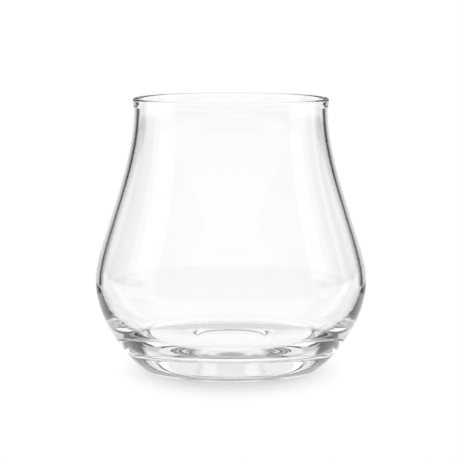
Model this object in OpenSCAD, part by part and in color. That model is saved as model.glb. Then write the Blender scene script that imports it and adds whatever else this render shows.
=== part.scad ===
// Whisky glass: a stemless tumbler of clear glass, drawn in at the neck over a wide belly.
// One lathe outline is turned round the Z axis; the table is at z = 0 and all sizes are in mm.

/* [Overall] */
// Height from the table to the top of the lip
glass_h = 90; // [86:0.5:96]

/* [Belly] */
// Outer radius of the widest circle
belly_r = 44.8; // [43.5:0.1:47]
// Height of the widest circle above the table
belly_z = 29.4; // [28:0.1:31]
// Wall thickness at the widest circle
belly_wall = 1.6; // [1.3:0.1:2]
// Length of upright pull on the outline above the widest circle
shoulder_pull = 12.1; // [10:0.1:14]
// Length of upright pull on the outline below the widest circle
flank_pull = 13.7; // [12:0.1:14.5]

/* [Neck] */
// Outer radius where the neck is narrowest, just under the lip
neck_r = 32; // [30:0.1:34]
// Wall thickness of the neck
neck_wall = 1.75; // [1.4:0.05:2]
// Length of upright pull on the outline below the neck
neck_pull = 20.8; // [18:0.1:24]

/* [Lip] */
// Thickness of the fire-polished lip, which is a full round
lip_thick = 1.7; // [1.5:0.05:2.2]
// How far the lip stands out past the neck
lip_proud = 0.3; // [0.1:0.05:0.5]
// Height over which the neck swells into the lip
lip_h = 2.4; // [2:0.1:3.5]

/* [Foot] */
// Outer radius of the flat ring that the glass rests on
ring_r = 27.7; // [26:0.1:28.5]
// Width of the flat resting ring
ring_w = 3.1; // [1.5:0.1:4]
// Radius of the round between the resting ring and the flank
foot_round = 0.9; // [0.6:0.1:2]
// Angle at which the flank leaves the foot, from the table in degrees
flank_angle = 20; // [17:0.5:24]
// Length of pull along the flank as it leaves the foot
foot_pull = 4.6; // [4:0.1:6.5]

/* [Base] */
// Height of the middle of the bowl's floor above the table
floor_z = 9.2; // [8:0.1:10]
// How far the floor's moat, its lowest circle, lies under the middle
moat_drop = 0.4; // [0.2:0.1:0.8]
// Height above the moat of the turn, the circle where the bowl's side passes into its floor
turn_rise = 2.4; // [2:0.1:3]
// Distance of the turn in from the widest circle of the bowl
turn_in = 9.7; // [9:0.1:11]
// Distance of the moat in from the turn
moat_in = 5.7; // [5:0.1:8]
// Slope of the bowl at the turn, from the table in degrees
turn_angle = 39; // [36:0.5:42]
// Length of pull along that slope, up the side
side_pull = 10.3; // [9:0.1:12]
// Length of upright pull on the side, down from the widest circle
bowl_pull = 2.5; // [1:0.1:3.5]
// Height of the punt, the shallow hollow under the base
punt_h = 1.1; // [0.4:0.1:1.8]

/* [Hidden] */

// Facets round the axis
$fn = 180;
// Steps along a pulled curve and along a small round
curve_steps = 28;
round_steps = 10;

// Half turn and quarter turn, in degrees
half_turn = 180;
quarter_turn = 90;

// Share of the lip's height over which each end of its swell runs upright
lip_pull_share = 0.45;
// Shares of the punt's radius over which its crown and its edge run level
punt_crown_share = 0.81;
punt_edge_share = 0.91;
// Shares of the way from turn to moat over which the floor follows the slope and runs level
turn_pull_share = 0.6;
moat_out_share = 0.34;
// Shares of the moat's radius over which the floor runs level, in from the moat and out from the middle
moat_in_share = 0.07;
floor_pull_share = 0.65;

lip_round = lip_thick / 2;
lip_r = neck_r + lip_proud;
lip_z = glass_h - lip_round;
neck_z = glass_h - lip_round - lip_h;
lip_pull = lip_h * lip_pull_share;
neck_in_r = neck_r - neck_wall;
belly_in_r = belly_r - belly_wall;
punt_r = ring_r - ring_w;
punt_crown_pull = punt_r * punt_crown_share;
punt_edge_pull = punt_r * punt_edge_share;

// One point of a cubic curve through the first and last of four points
function pulled(p, t) =
    pow(1 - t, 3) * p[0]
    + 3 * pow(1 - t, 2) * t * p[1]
    + 3 * (1 - t) * pow(t, 2) * p[2]
    + pow(t, 3) * p[3];

// The points of such a curve after its first, which the stretch before it has given
function stretch(p) = [for (i = [1 : curve_steps]) pulled(p, i / curve_steps)];

// The points of an arc after its first, angles in degrees
function turn(centre, radius, from, to) = [
    for (i = [1 : round_steps])
        let (a = from + (to - from) * i / round_steps)
        centre + radius * [cos(a), sin(a)]
];

// Unit step along the flank as it leaves the foot
flank_way = [cos(flank_angle), sin(flank_angle)];
foot_centre = [ring_r, foot_round];
foot_top = foot_centre + foot_round * [sin(flank_angle), -cos(flank_angle)];

// The moat, the turn and a unit step up the slope there
moat_z = floor_z - moat_drop;
turn_r = belly_in_r - turn_in;
moat_r = turn_r - moat_in;
bowl_turn = [turn_r, moat_z + turn_rise];
turn_way = [cos(turn_angle), sin(turn_angle)];

// Under the base: the punt, from its broad crown to the resting ring
punt = stretch([
    [0, punt_h],
    [punt_crown_pull, punt_h],
    [punt_r - punt_edge_pull, 0],
    [punt_r, 0],
]);

// The round at the edge of the foot
foot = turn(foot_centre, foot_round, -quarter_turn, flank_angle - quarter_turn);

// Outside, from the foot out to the widest circle
flank = stretch([
    foot_top,
    foot_top + foot_pull * flank_way,
    [belly_r, belly_z - flank_pull],
    [belly_r, belly_z],
]);

// Outside, from the widest circle in to the neck
shoulder = stretch([
    [belly_r, belly_z],
    [belly_r, belly_z + shoulder_pull],
    [neck_r, neck_z - neck_pull],
    [neck_r, neck_z],
]);

// The lip: it swells out of the neck, rounds over and runs back into the inner wall
lip = concat(
    stretch([
        [neck_r, neck_z],
        [neck_r, neck_z + lip_pull],
        [lip_r, lip_z - lip_pull],
        [lip_r, lip_z],
    ]),
    turn([lip_r - lip_round, lip_z], lip_round, 0, half_turn),
    stretch([
        [lip_r - lip_thick, lip_z],
        [lip_r - lip_thick, lip_z - lip_pull],
        [neck_in_r, neck_z + lip_pull],
        [neck_in_r, neck_z],
    ])
);

// Inside, from the neck down and out to the widest circle of the bowl
bowl_shoulder = stretch([
    [neck_in_r, neck_z],
    [neck_in_r, neck_z - neck_pull],
    [belly_in_r, belly_z + shoulder_pull],
    [belly_in_r, belly_z],
]);

// Inside, from the widest circle of the bowl down its side, which grows thicker all the way
bowl_side = stretch([
    [belly_in_r, belly_z],
    [belly_in_r, belly_z - bowl_pull],
    bowl_turn + side_pull * turn_way,
    bowl_turn,
]);

// Inside, from the turn down into the moat
bowl_moat = stretch([
    bowl_turn,
    bowl_turn - moat_in * turn_pull_share * turn_way,
    [moat_r + moat_in * moat_out_share, moat_z],
    [moat_r, moat_z],
]);

// Inside, from the moat up to the middle of the bowl's floor
bowl_floor = stretch([
    [moat_r, moat_z],
    [moat_r - moat_r * moat_in_share, moat_z],
    [moat_r * floor_pull_share, floor_z],
    [0, floor_z],
]);

// The whole outline, anticlockwise from the crown of the punt
outline = concat(
    [[0, punt_h]],
    punt,
    [[ring_r, 0]],
    foot,
    flank,
    shoulder,
    lip,
    bowl_shoulder,
    bowl_side,
    bowl_moat,
    bowl_floor
);

// The glass, one solid turned from its outline
module tumbler() {
    color([0.86, 0.92, 0.93, 0.45])
        rotate_extrude()
            polygon(outline);
}

tumbler();
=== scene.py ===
import math

import bpy
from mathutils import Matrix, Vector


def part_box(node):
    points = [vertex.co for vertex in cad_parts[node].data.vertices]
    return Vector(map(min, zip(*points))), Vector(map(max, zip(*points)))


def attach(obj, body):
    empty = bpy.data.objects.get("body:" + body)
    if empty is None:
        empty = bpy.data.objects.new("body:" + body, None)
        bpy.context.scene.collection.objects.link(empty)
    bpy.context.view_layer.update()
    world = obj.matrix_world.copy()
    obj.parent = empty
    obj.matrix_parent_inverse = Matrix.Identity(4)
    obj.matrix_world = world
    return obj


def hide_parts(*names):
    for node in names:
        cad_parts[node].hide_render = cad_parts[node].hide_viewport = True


# Whisky glass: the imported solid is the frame, and the glass that shows is the same lathe outline,
# turned much finer so that light bends through it cleanly. Lengths are in metres.
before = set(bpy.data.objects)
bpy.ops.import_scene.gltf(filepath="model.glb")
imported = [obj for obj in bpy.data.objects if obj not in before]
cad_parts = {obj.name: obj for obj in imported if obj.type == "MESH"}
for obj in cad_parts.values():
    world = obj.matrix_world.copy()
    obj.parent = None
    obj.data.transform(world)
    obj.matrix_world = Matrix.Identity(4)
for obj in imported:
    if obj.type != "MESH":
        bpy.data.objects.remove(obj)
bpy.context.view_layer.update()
scene = bpy.context.scene


def addNode(tree, kind, **settings):
    node = tree.nodes.new(kind)
    for name, value in settings.items():
        setattr(node, name, value)
    return node


def feed(tree, value, socket):
    # a plain value is set on the socket, anything else is linked to it
    if isinstance(value, bpy.types.NodeSocket):
        tree.links.new(value, socket)
    else:
        socket.default_value = value


def calc(tree, operation, first, second=0.0):
    node = addNode(tree, "ShaderNodeMath", operation=operation)
    feed(tree, first, node.inputs[0])
    feed(tree, second, node.inputs[1])
    return node.outputs[0]


def easedRamp(tree, value, span, low, high):
    node = addNode(tree, "ShaderNodeMapRange", interpolation_type="SMOOTHSTEP")
    feed(tree, value, node.inputs["Value"])
    for socket, number in zip(("From Min", "From Max", "To Min", "To Max"), (*span, low, high)):
        node.inputs[socket].default_value = number
    return node.outputs["Result"]


def softEdge(tree, value, middle, width, low, high):
    return easedRamp(tree, value, (middle - width / 2.0, middle + width / 2.0), low, high)


# The glass. Its height and widest radius come from the frame.
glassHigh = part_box("tumbler")[1]
glassSizes = {
    "Glass height": glassHigh[2],
    "Belly radius": glassHigh[0],
    "Belly height": 0.0294,
    "Belly wall": 0.0016,
    "Shoulder pull": 0.0121,
    "Flank pull": 0.0137,
    "Neck radius": 0.032,
    "Neck wall": 0.00175,
    "Neck pull": 0.0208,
    "Lip thickness": 0.0017,
    "Lip proud": 0.0003,
    "Lip height": 0.0024,
    "Ring radius": 0.0277,
    "Ring width": 0.0031,
    "Foot round": 0.0009,
    "Foot pull": 0.0046,
    "Floor height": 0.0092,
    "Moat drop": 0.0004,  # the lowest circle of the bowl's floor, under its middle
    "Turn rise": 0.0024,  # over the moat to the circle where the bowl's side passes into its floor
    "Turn in": 0.0097,
    "Moat in": 0.0057,
    "Side pull": 0.0103,
    "Bowl pull": 0.0025,
    "Punt height": 0.0011,
}
glassTurning = {
    "Flank angle": math.radians(20.0),  # from the table
    "Turn angle": math.radians(39.0),  # from the table
    "Lip pull share": 0.45,
    "Punt crown share": 0.81,
    "Punt edge share": 0.91,
    "Turn pull share": 0.6,
    "Moat out share": 0.34,
    "Moat in share": 0.07,
    "Floor pull share": 0.65,
    "Sweep radius": 0.05,  # of the circle that carries the outline round, clear of the axis
    "Weld distance": 2e-6,
    "Turn steps": 256,
    "Curve steps": 44,
    "Round steps": 8,
    "Ring steps": 4,
}


def glassTree():
    tree = bpy.data.node_groups.new("turned glass", "GeometryNodeTree")
    inputIds = {}

    def addInput(name, kind):
        socket = tree.interface.new_socket(name=name, in_out="INPUT", socket_type=kind)
        inputIds[name] = socket.identifier

    for name in list(glassSizes) + list(glassTurning):
        addInput(name, "NodeSocketInt" if name.endswith("steps") else "NodeSocketFloat")
    addInput("Material", "NodeSocketMaterial")
    tree.interface.new_socket(name="Glass", in_out="OUTPUT", socket_type="NodeSocketGeometry")
    size = addNode(tree, "NodeGroupInput").outputs

    def plus(first, second):
        return calc(tree, "ADD", first, second)

    def minus(first, second):
        return calc(tree, "SUBTRACT", first, second)

    def times(first, second):
        return calc(tree, "MULTIPLY", first, second)

    def point(radius, height):
        node = addNode(tree, "ShaderNodeCombineXYZ")
        feed(tree, radius, node.inputs["X"])
        feed(tree, height, node.inputs["Y"])
        return node.outputs[0]

    def stretch(steps, *points):
        node = addNode(tree, "GeometryNodeCurvePrimitiveBezierSegment", mode="POSITION")
        feed(tree, size[steps], node.inputs["Resolution"])
        for name, place in zip(("Start", "Start Handle", "End Handle", "End"), points):
            feed(tree, place, node.inputs[name])
        return node.outputs[0]

    top = size["Glass height"]
    bellyR, bellyZ = size["Belly radius"], size["Belly height"]
    bellyIn = minus(bellyR, size["Belly wall"])
    neckR = size["Neck radius"]
    neckIn = minus(neckR, size["Neck wall"])
    ringR = size["Ring radius"]
    puntR = minus(ringR, size["Ring width"])
    puntZ, floorZ = size["Punt height"], size["Floor height"]

    lipRound = times(size["Lip thickness"], 0.5)
    lipR = plus(neckR, size["Lip proud"])
    lipZ = minus(top, lipRound)
    lipMid = minus(lipR, lipRound)
    lipIn = minus(lipMid, lipRound)
    lipPull = times(size["Lip height"], size["Lip pull share"])
    neckZ = minus(lipZ, size["Lip height"])
    arcPull = 4.0 / 3.0  # an arc's pull is this times its radius and the tangent of a quarter of its angle
    lipArc = times(lipRound, arcPull * math.tan(math.pi / 8.0))

    # the foot's small round turns from level to the flank's angle
    angle, footRound = size["Flank angle"], size["Foot round"]
    sine = calc(tree, "SINE", angle)
    cosine = calc(tree, "COSINE", angle)
    footR = plus(ringR, times(footRound, sine))
    footZ = minus(footRound, times(footRound, cosine))
    footArc = times(times(footRound, calc(tree, "TANGENT", times(angle, 0.25))), arcPull)
    footPull = size["Foot pull"]
    shoulderZ = plus(bellyZ, size["Shoulder pull"])
    pullZ = minus(neckZ, size["Neck pull"])

    # the bowl's side passes into its floor on a slope, and the floor rises from a moat to its middle
    turnR = minus(bellyIn, size["Turn in"])
    moatIn = size["Moat in"]
    moatR = minus(turnR, moatIn)
    moatZ = minus(floorZ, size["Moat drop"])
    turnZ = plus(moatZ, size["Turn rise"])
    turnSine = calc(tree, "SINE", size["Turn angle"])
    turnCosine = calc(tree, "COSINE", size["Turn angle"])

    def slope(pull, way):
        return point(way(turnR, times(pull, turnCosine)), way(turnZ, times(pull, turnSine)))

    stretches = [
        stretch("Curve steps", point(0.0, puntZ), point(times(puntR, size["Punt crown share"]), puntZ),
                point(minus(puntR, times(puntR, size["Punt edge share"])), 0.0), point(puntR, 0.0)),
        stretch("Ring steps", point(puntR, 0.0), point(puntR, 0.0), point(ringR, 0.0), point(ringR, 0.0)),
        stretch("Round steps", point(ringR, 0.0), point(plus(ringR, footArc), 0.0),
                point(minus(footR, times(footArc, cosine)), minus(footZ, times(footArc, sine))),
                point(footR, footZ)),
        stretch("Curve steps", point(footR, footZ),
                point(plus(footR, times(footPull, cosine)), plus(footZ, times(footPull, sine))),
                point(bellyR, minus(bellyZ, size["Flank pull"])), point(bellyR, bellyZ)),
        stretch("Curve steps", point(bellyR, bellyZ), point(bellyR, shoulderZ),
                point(neckR, pullZ), point(neckR, neckZ)),
        stretch("Round steps", point(neckR, neckZ), point(neckR, plus(neckZ, lipPull)),
                point(lipR, minus(lipZ, lipPull)), point(lipR, lipZ)),
        stretch("Round steps", point(lipR, lipZ), point(lipR, plus(lipZ, lipArc)),
                point(plus(lipMid, lipArc), top), point(lipMid, top)),
        stretch("Round steps", point(lipMid, top), point(minus(lipMid, lipArc), top),
                point(lipIn, plus(lipZ, lipArc)), point(lipIn, lipZ)),
        stretch("Round steps", point(lipIn, lipZ), point(lipIn, minus(lipZ, lipPull)),
                point(neckIn, plus(neckZ, lipPull)), point(neckIn, neckZ)),
        stretch("Curve steps", point(neckIn, neckZ), point(neckIn, pullZ),
                point(bellyIn, shoulderZ), point(bellyIn, bellyZ)),
        stretch("Curve steps", point(bellyIn, bellyZ), point(bellyIn, minus(bellyZ, size["Bowl pull"])),
                slope(size["Side pull"], plus), point(turnR, turnZ)),
        stretch("Curve steps", point(turnR, turnZ), slope(times(moatIn, size["Turn pull share"]), minus),
                point(plus(moatR, times(moatIn, size["Moat out share"])), moatZ), point(moatR, moatZ)),
        stretch("Curve steps", point(moatR, moatZ),
                point(minus(moatR, times(moatR, size["Moat in share"])), moatZ),
                point(times(moatR, size["Floor pull share"]), floorZ), point(0.0, floorZ)),
    ]
    outline = addNode(tree, "GeometryNodeJoinGeometry")
    for curve in reversed(stretches):
        tree.links.new(curve, outline.inputs[0])

    # the outline goes round on a circle, from which it hangs back to the axis
    circle = addNode(tree, "GeometryNodeCurvePrimitiveCircle", mode="RADIUS")
    feed(tree, size["Turn steps"], circle.inputs["Resolution"])
    feed(tree, size["Sweep radius"], circle.inputs["Radius"])
    hang = addNode(tree, "GeometryNodeTransform")
    tree.links.new(outline.outputs[0], hang.inputs["Geometry"])
    feed(tree, point(minus(0.0, size["Sweep radius"]), 0.0), hang.inputs["Translation"])
    hang.inputs["Scale"].default_value = (1.0, -1.0, 1.0)
    sweep = addNode(tree, "GeometryNodeCurveToMesh")
    tree.links.new(circle.outputs[0], sweep.inputs["Curve"])
    tree.links.new(hang.outputs[0], sweep.inputs["Profile Curve"])
    weld = addNode(tree, "GeometryNodeMergeByDistance")
    tree.links.new(sweep.outputs[0], weld.inputs["Geometry"])
    feed(tree, size["Weld distance"], weld.inputs["Distance"])
    outward = addNode(tree, "GeometryNodeFlipFaces")
    tree.links.new(weld.outputs[0], outward.inputs["Mesh"])
    smooth = addNode(tree, "GeometryNodeSetShadeSmooth")
    tree.links.new(outward.outputs[0], smooth.inputs["Geometry"])
    realize = addNode(tree, "GeometryNodeRealizeInstances")
    tree.links.new(smooth.outputs[0], realize.inputs[0])
    finish = addNode(tree, "GeometryNodeSetMaterial")
    tree.links.new(realize.outputs[0], finish.inputs["Geometry"])
    tree.links.new(size["Material"], finish.inputs["Material"])
    tree.links.new(finish.outputs[0], addNode(tree, "NodeGroupOutput").inputs[0])
    return tree, inputIds


# The finish: clear and polished, very faintly wavy, with a scuffed resting ring.
glassDetail = {
    "colour": (1.0, 1.0, 1.0, 1.0),
    "ior": 1.5,
    "wave scale": 26.0,
    "wave strength": 0.012,
    "wave height": 0.001,
    "wear height": (0.00015, 0.0007),  # over which the scuffs end
    "wear scale": 1400.0,
    "wear noise": (0.45, 0.7),
    "wear roughness": 0.35,
}


def clearGlass():
    mat = bpy.data.materials.new("clear glass")
    mat.use_nodes = True
    tree = mat.node_tree
    shader = tree.nodes["Principled BSDF"]
    shader.inputs["Base Color"].default_value = glassDetail["colour"]
    shader.inputs["IOR"].default_value = glassDetail["ior"]
    shader.inputs["Transmission Weight"].default_value = 1.0
    coord = addNode(tree, "ShaderNodeTexCoord")

    def noise(scale):
        node = addNode(tree, "ShaderNodeTexNoise")
        tree.links.new(coord.outputs["Object"], node.inputs["Vector"])
        node.inputs["Scale"].default_value = scale
        return node.outputs[0]

    split = addNode(tree, "ShaderNodeSeparateXYZ")
    tree.links.new(coord.outputs["Object"], split.inputs[0])
    scuffs = easedRamp(tree, noise(glassDetail["wear scale"]), glassDetail["wear noise"],
                       0.0, glassDetail["wear roughness"])
    onRing = easedRamp(tree, split.outputs["Z"], glassDetail["wear height"], 1.0, 0.0)
    tree.links.new(calc(tree, "MULTIPLY", scuffs, onRing), shader.inputs["Roughness"])
    wave = addNode(tree, "ShaderNodeBump")
    tree.links.new(noise(glassDetail["wave scale"]), wave.inputs["Height"])
    wave.inputs["Strength"].default_value = glassDetail["wave strength"]
    wave.inputs["Distance"].default_value = glassDetail["wave height"]
    tree.links.new(wave.outputs[0], shader.inputs["Normal"])
    return mat


def turnGlass():
    tree, inputIds = glassTree()
    holder = bpy.data.objects.new("glass outline", bpy.data.meshes.new("glass outline"))
    scene.collection.objects.link(holder)
    modifier = holder.modifiers.new("turned glass", "NODES")
    modifier.node_group = tree
    for name, value in {**glassSizes, **glassTurning}.items():
        modifier[inputIds[name]] = value
    modifier[inputIds["Material"]] = clearGlass()
    bpy.context.view_layer.update()
    graph = bpy.context.evaluated_depsgraph_get()
    mesh = bpy.data.meshes.new_from_object(holder.evaluated_get(graph))
    bpy.data.objects.remove(holder)
    glass = bpy.data.objects.new("clear_tumbler", mesh)
    scene.collection.objects.link(glass)
    return glass


# The table top: a small plain white disc, so that light which leaves the glass low down goes past it.
table = {
    "radius": 0.16,
    "drop": 0.00005,  # clearance under the foot
    "colour": (0.95, 0.95, 0.95, 1.0),
    "glow": 1.0,
    "glow share": 0.45,
    "fade": (0.034, 0.068),  # over this radius the table passes into plain white, sooner at the sides
    "fade stretch": (1.7, 1.0, 0.0),
    "sides": 96,
}


def paleTable():
    mesh = bpy.data.meshes.new("table")
    turn = 2.0 * math.pi / table["sides"]
    rim = [(table["radius"] * math.cos(turn * k), table["radius"] * math.sin(turn * k), -table["drop"])
           for k in range(table["sides"])]
    mesh.from_pydata(rim, [], [tuple(range(table["sides"]))])
    top = bpy.data.objects.new("table", mesh)
    scene.collection.objects.link(top)
    mat = bpy.data.materials.new("white table")
    mat.use_nodes = True
    tree = mat.node_tree
    tree.nodes.clear()
    diffuse = addNode(tree, "ShaderNodeBsdfDiffuse")
    diffuse.inputs["Color"].default_value = table["colour"]
    glow = addNode(tree, "ShaderNodeEmission")
    glow.inputs["Strength"].default_value = table["glow"]
    coord = addNode(tree, "ShaderNodeTexCoord")

    def blend(factor, first, second):
        node = addNode(tree, "ShaderNodeMixShader")
        for socket, source in zip(node.inputs, (factor, first, second)):
            tree.links.new(source, socket)
        return node.outputs[0]

    stretched = addNode(tree, "ShaderNodeVectorMath", operation="MULTIPLY")
    tree.links.new(coord.outputs["Object"], stretched.inputs[0])
    stretched.inputs[1].default_value = table["fade stretch"]
    radius = addNode(tree, "ShaderNodeVectorMath", operation="LENGTH")
    tree.links.new(stretched.outputs[0], radius.inputs[0])
    whiteness = easedRamp(tree, radius.outputs["Value"], table["fade"], table["glow share"], 1.0)
    shadowed = blend(whiteness, diffuse.outputs[0], glow.outputs[0])
    # through and off the glass the table is plain white, and the camera sees it with the glass's shadow
    path = addNode(tree, "ShaderNodeLightPath")
    shown = blend(path.outputs["Is Camera Ray"], glow.outputs[0], shadowed)
    out = addNode(tree, "ShaderNodeOutputMaterial")
    tree.links.new(shown, out.inputs["Surface"])
    mesh.materials.append(mat)


# The studio round the glass: a white table running back, a lit screen behind it, and cards and flags
# beside it, each laid over those before it. "round" is in degrees from straight behind the glass, the
# same on both sides, "rise" in degrees over level, and "soft" the width of the edges round and up.
# "shows" keeps a card to mirrored light, to light that has been inside the glass, or, for "edge on", to
# light that was mirrored or has crossed one wall at most, so that the back stays white through both walls.
# The camera and diffuse light see none of them, but plain white all round.
tableLevel = 1.0
studioCards = {
    "room": {"round": (-20, 200), "rise": (-0.5, 110), "soft": (4, 1.5), "level": 0.62},
    "front": {"round": (108, 200), "rise": (-0.5, 22), "soft": (14, 8), "level": 0.38},
    "front table": {"round": (140, 200), "rise": (-110, -0.5), "soft": (24, 1.5), "level": 0.65,
                    "shows": "mirrored"},
    "side table": {"round": (98, 152), "rise": (-14, -0.5), "soft": (12, 1.5), "level": 0.5,
                   "shows": "mirrored"},
    "upper sides": {"round": (33, 112), "rise": (36, 110), "soft": (6, 14), "level": 0.85},
    "ceiling": {"round": (-20, 28), "rise": (49, 110), "soft": (8, 6), "level": 0.25},
    "screen": {"round": (-20, 14), "rise": (7, 46), "soft": (5, 4), "level": 0.95},
    "gap": {"round": (-20, 15), "rise": (-1, 6.5), "soft": (5, 2), "level": 0.08, "shows": "edge on"},
    "beside screen": {"round": (18, 29), "rise": (3, 52), "soft": (5, 4), "level": 0.2},
    "table end": {"round": (13, 40), "rise": (-11, 3), "soft": (5, 2), "level": 0.62},
    "side box": {"round": (30, 51), "rise": (-0.5, 84), "soft": (3, 2), "level": 0.85},
    "box foot": {"round": (29, 52), "rise": (-0.5, 9), "soft": (3, 3), "level": 0.55},
    "strip": {"round": (26, 37.5), "rise": (-10, 4.5), "soft": (3, 2), "level": 0.0},
    "side shade": {"round": (52, 88), "rise": (-1, 34), "soft": (4, 6), "level": 0.35, "shows": "mirrored"},
    "box base": {"round": (43, 53), "rise": (-1.8, 1.2), "soft": (3, 1.5), "level": 0.05, "shows": "inside"},
    "flag": {"round": (53, 86), "rise": (-1, 20), "soft": (2, 3), "level": 0.0, "shows": "inside"},
    "low flag": {"round": (50, 104), "rise": (-1, 6), "soft": (3, 2), "level": 0.0, "shows": "inside"},
}
# Light that was never mirrored meets plain white in two places, both under the height of "rise": straight
# behind, once it has crossed both walls, and past the angle "round". Each is the middle and width of a
# soft edge, in degrees.
seeThrough = {"behind": (11.0, 4.0), "round": (56.0, 8.0), "rise": (14.0, 10.0)}
lightCounts = {"any": 0.5, "one wall": 2.5}  # bounds between whole numbers of a ray's turns


def studioWorld():
    world = bpy.data.worlds.new("studio")
    scene.world = world
    world.use_nodes = True
    tree = world.node_tree
    tree.nodes.clear()
    coord = addNode(tree, "ShaderNodeTexCoord")
    split = addNode(tree, "ShaderNodeSeparateXYZ")
    tree.links.new(coord.outputs["Generated"], split.inputs[0])
    aside = calc(tree, "ABSOLUTE", split.outputs["X"])
    around = calc(tree, "DEGREES", calc(tree, "ARCTAN2", aside, split.outputs["Y"]))
    up = calc(tree, "DEGREES", calc(tree, "ARCSINE", split.outputs["Z"]))

    def blend(factor, first, second):
        mix = addNode(tree, "ShaderNodeMix", data_type="FLOAT")
        feed(tree, factor, mix.inputs[0])
        feed(tree, first, mix.inputs[2])
        feed(tree, second, mix.inputs[3])
        return mix.outputs[0]

    path = addNode(tree, "ShaderNodeLightPath")
    crossings = path.outputs["Transmission Depth"]
    mirrored = calc(tree, "GREATER_THAN", path.outputs["Glossy Depth"], lightCounts["any"])
    inside = calc(tree, "GREATER_THAN", crossings, lightCounts["any"])
    oneWall = calc(tree, "LESS_THAN", crossings, lightCounts["one wall"])
    edgeOn = calc(tree, "MAXIMUM", mirrored, oneWall)
    masks = {"all": 1.0, "mirrored": mirrored, "inside": inside, "edge on": edgeOn}
    level = tableLevel
    for card in studioCards.values():
        mask = masks[card.get("shows", "all")]
        for value, span, soft in zip((around, up), (card["round"], card["rise"]), card["soft"]):
            mask = calc(tree, "MULTIPLY", softEdge(tree, value, span[0], soft, 0.0, 1.0), mask)
            mask = calc(tree, "MULTIPLY", softEdge(tree, value, span[1], soft, 1.0, 0.0), mask)
        level = blend(mask, level, card["level"])

    beyond = softEdge(tree, around, *seeThrough["round"], 0.0, 1.0)
    behind = softEdge(tree, around, *seeThrough["behind"], 1.0, 0.0)
    twoWalls = calc(tree, "GREATER_THAN", crossings, lightCounts["one wall"])
    behind = calc(tree, "MULTIPLY", twoWalls, behind)
    through = calc(tree, "SUBTRACT", 1.0, mirrored)
    through = calc(tree, "MULTIPLY", calc(tree, "MAXIMUM", beyond, behind), through)
    through = calc(tree, "MULTIPLY", softEdge(tree, up, *seeThrough["rise"], 1.0, 0.0), through)
    level = blend(through, level, tableLevel)
    plain = calc(tree, "MAXIMUM", path.outputs["Is Camera Ray"], path.outputs["Is Diffuse Ray"])
    back = addNode(tree, "ShaderNodeBackground")
    back.inputs["Color"].default_value = (1.0, 1.0, 1.0, 1.0)
    tree.links.new(blend(plain, level, tableLevel), back.inputs["Strength"])
    out = addNode(tree, "ShaderNodeOutputWorld")
    tree.links.new(back.outputs[0], out.inputs["Surface"])


# Tall soft lamps beside and before the glass, seen only as faint bands on it: degrees round from straight
# behind, width and span of heights in degrees, and strength.
softLamps = {
    "left": {"round": -98.0, "span": 34.0, "rise": (-16.0, 46.0), "light": 0.8},
    "right": {"round": 95.0, "span": 26.0, "rise": (-16.0, 46.0), "light": 0.7},
    "right strip": {"round": 69.0, "span": 6.0, "rise": (-16.0, 46.0), "light": 0.8},
    "front": {"round": 180.0, "span": 130.0, "rise": (0.0, 32.0), "light": 0.45},
}
lampDistance = 1.2


def softLamp(name):
    own = softLamps[name]
    low, high = (lampDistance * math.tan(math.radians(angle)) for angle in own["rise"])
    data = bpy.data.lights.new(name, "AREA")
    data.shape = "RECTANGLE"
    data.size = 2.0 * lampDistance * math.tan(math.radians(own["span"] / 2.0))
    data.size_y = high - low
    # this much energy makes a lamp of this size look as bright as its strength says
    data.energy = own["light"] * math.pi * data.size * data.size_y
    lamp = bpy.data.objects.new(name, data)
    scene.collection.objects.link(lamp)
    turn = math.radians(own["round"])
    lamp.location = (lampDistance * math.sin(turn), lampDistance * math.cos(turn), (low + high) / 2.0)
    lamp.rotation_euler = (math.radians(90.0), 0.0, math.pi - turn)
    lamp.visible_camera = False
    lamp.visible_diffuse = False
    lamp.visible_transmission = False


# The photograph's camera.
photoView = {
    "distance": 0.82,
    "height": 0.13643,
    "pitch": 6.254,  # degrees below level
    "pixels per tangent": 2491.9,
    "image size": 458.0,
    "glass axis pixel": 230.94,
    "sensor": 36.0,
    "clip": (0.05, 30.0),
}


def photoCamera():
    data = bpy.data.cameras.new("photograph view")
    view = bpy.data.objects.new("photograph view", data)
    scene.collection.objects.link(view)
    data.sensor_width = photoView["sensor"]
    data.lens = photoView["sensor"] * photoView["pixels per tangent"] / photoView["image size"]
    data.clip_start, data.clip_end = photoView["clip"]
    aside = (photoView["glass axis pixel"] - photoView["image size"] / 2.0) / photoView["pixels per tangent"]
    view.location = (0.0, -photoView["distance"], photoView["height"])
    view.rotation_euler = (math.radians(90.0 - photoView["pitch"]), 0.0, math.atan(aside))
    scene.camera = view


photoCamera()
glass = turnGlass()
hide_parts("tumbler")
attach(glass, "root")
print("glass turned:", len(glass.data.polygons), "faces")

paleTable()
studioWorld()
for lampName in softLamps:
    softLamp(lampName)
scene.view_settings.view_transform = "Standard"
# after this many turns inside the glass, a ray counts as soaked up
lightTurns = 16
scene.cycles.max_bounces = lightTurns
scene.cycles.glossy_bounces = lightTurns
scene.cycles.transmission_bounces = lightTurns
print("table, studio and lamps set")
